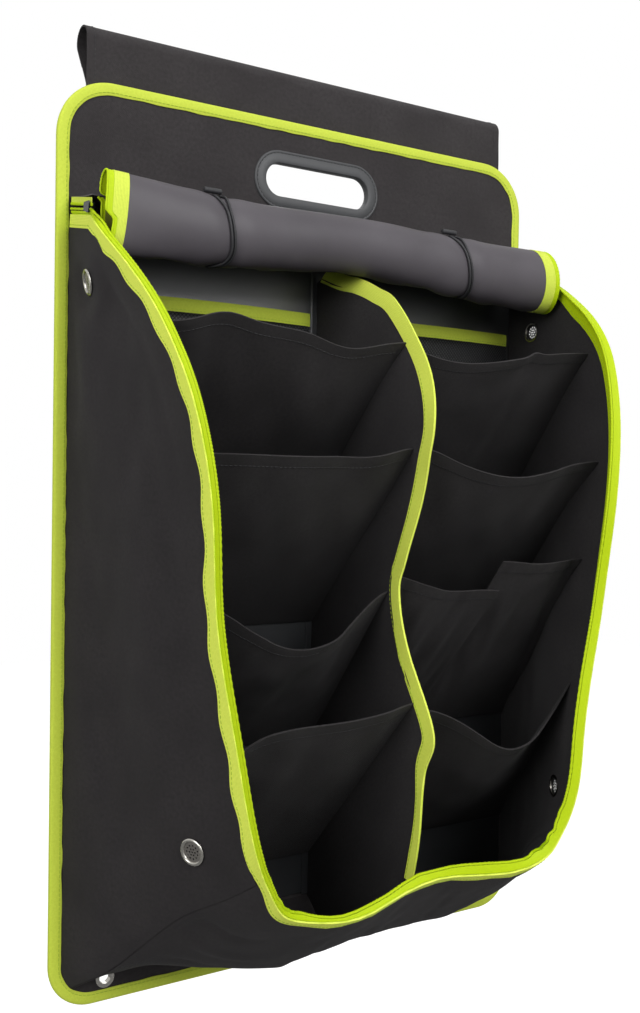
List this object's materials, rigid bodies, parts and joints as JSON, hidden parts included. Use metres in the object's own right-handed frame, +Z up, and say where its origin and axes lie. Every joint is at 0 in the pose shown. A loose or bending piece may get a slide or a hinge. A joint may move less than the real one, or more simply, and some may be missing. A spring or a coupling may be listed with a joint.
{
  "type": "hanging tent organizer",
  "caption": "Soft hanging organizer with a stiff back panel on a pole sleeve, a gusseted box of pockets with a divider, and a rolled front cover held by toggle ties.",
  "frame": {"origin": "the pole's axis, at the middle of the sleeve", "axes": "+Z up, +Y towards the rear, -Y towards the viewer of the pockets, +X to the viewer's right"},
  "size_m": [0.6, 0.2551, 0.9772],
  "materials": {
    "charcoal": "woven polyester, matt",
    "board": "dense fibreboard",
    "lime": "woven binding tape",
    "rubber": "soft matt rubber",
    "coated": "coated, slight sheen",
    "mesh": "fine knitted mesh",
    "zip": "bright zip tape",
    "nickel": "nickel plated",
    "coating": "grey coating, slight sheen",
    "cord": "braided elastic cord",
    "zinc": "black painted zinc"
  },
  "bodies": {
    "organizer": {"pole_sleeve": "charcoal", "front_panel_fabric": "charcoal", "stiffener_board": "board", "rear_lining": "charcoal", "edge_binding": "lime", "handle_trim_front": "rubber", "handle_trim_rear": "rubber", "inner_back_lining": "coated", "mesh_pocket_left": "mesh", "mesh_pocket_right": "mesh", "mesh_binding_left": "lime", "mesh_binding_right": "lime", "side_gusset_left": "charcoal", "side_gusset_right": "charcoal", "bottom_gusset": "charcoal", "rim_binding": "lime", "zip_tape": "zip", "zip_coil": "zip", "centre_divider": "charcoal", "divider_binding": "lime", "divider_seam_tape": "coated", "left_pocket_1": "charcoal", "left_pocket_2": "charcoal", "left_pocket_3": "charcoal", "left_pocket_4": "charcoal", "right_pocket_1": "charcoal", "right_pocket_2": "charcoal", "right_pocket_3_inner": "charcoal", "right_pocket_3_outer": "charcoal", "right_pocket_4": "charcoal", "vent_eyelet_left_top": "nickel", "vent_eyelet_left_low": "nickel", "vent_eyelet_right_top": "nickel", "vent_eyelet_right_low": "nickel", "vent_washer_left_top": "nickel", "vent_washer_left_low": "nickel", "vent_washer_right_top": "nickel", "vent_washer_right_low": "nickel", "corner_eyelet_left": "nickel", "corner_eyelet_right": "nickel", "corner_washer_left": "nickel", "corner_washer_right": "nickel", "cover_roof": "coating", "roof_zip_tape_left": "lime", "roof_zip_tape_right": "lime"},
    "rolled_cover": {"rolled_cover": "coating", "cover_zip_tape_left": "lime", "cover_zip_tape_right": "lime", "tie_loop_left": "cord", "tie_loop_right": "cord", "tie_tail_left": "cord", "tie_tail_right": "cord"},
    "toggle_left": {"toggle_left": "cord"},
    "zip_slider_left": {"zip_slider_left": "zinc"},
    "zip_pull_left": {"zip_pull_left": "zinc"},
    "toggle_right": {"toggle_right": "cord"},
    "zip_slider_right": {"zip_slider_right": "zinc"},
    "zip_pull_right": {"zip_pull_right": "zinc"}
  },
  "joints": [
    {"name": "cover_lift", "type": "hinge", "parent": "organizer", "child": "rolled_cover", "pos_m": [0, -0.0765, -0.17], "axis": [-1, 0, 0], "range_deg": [0, 45]},
    {"name": "toggle_swivel_left", "type": "hinge", "parent": "rolled_cover", "child": "toggle_left", "pos_m": [-0.1656, -0.09708, -0.15679], "axis": [0, -0.1935, 0.9811], "range_deg": [-40, 40]},
    {"name": "zip_slide_left", "type": "slide", "parent": "organizer", "child": "zip_slider_left", "axis": [0.0017, 0.9798, 0.2], "range_m": [0, 0.04]},
    {"name": "zip_pull_left", "type": "hinge", "parent": "zip_slider_left", "child": "zip_pull_left", "pos_m": [-0.28058, -0.07078, -0.18077], "axis": [-0.0017, -0.9798, -0.2], "range_deg": [0, 12]},
    {"name": "toggle_swivel_right", "type": "hinge", "parent": "rolled_cover", "child": "toggle_right", "pos_m": [0.1269, -0.09969, -0.15856], "axis": [0, -0.2206, 0.9754], "range_deg": [-40, 40]},
    {"name": "zip_slide_right", "type": "slide", "parent": "organizer", "child": "zip_slider_right", "axis": [-0.0017, 0.9798, 0.2], "range_m": [0, 0.04]},
    {"name": "zip_pull_right", "type": "hinge", "parent": "zip_slider_right", "child": "zip_pull_right", "pos_m": [0.28058, -0.07078, -0.18077], "axis": [-0.0017, 0.9798, 0.2], "range_deg": [0, 12]}
  ]
}
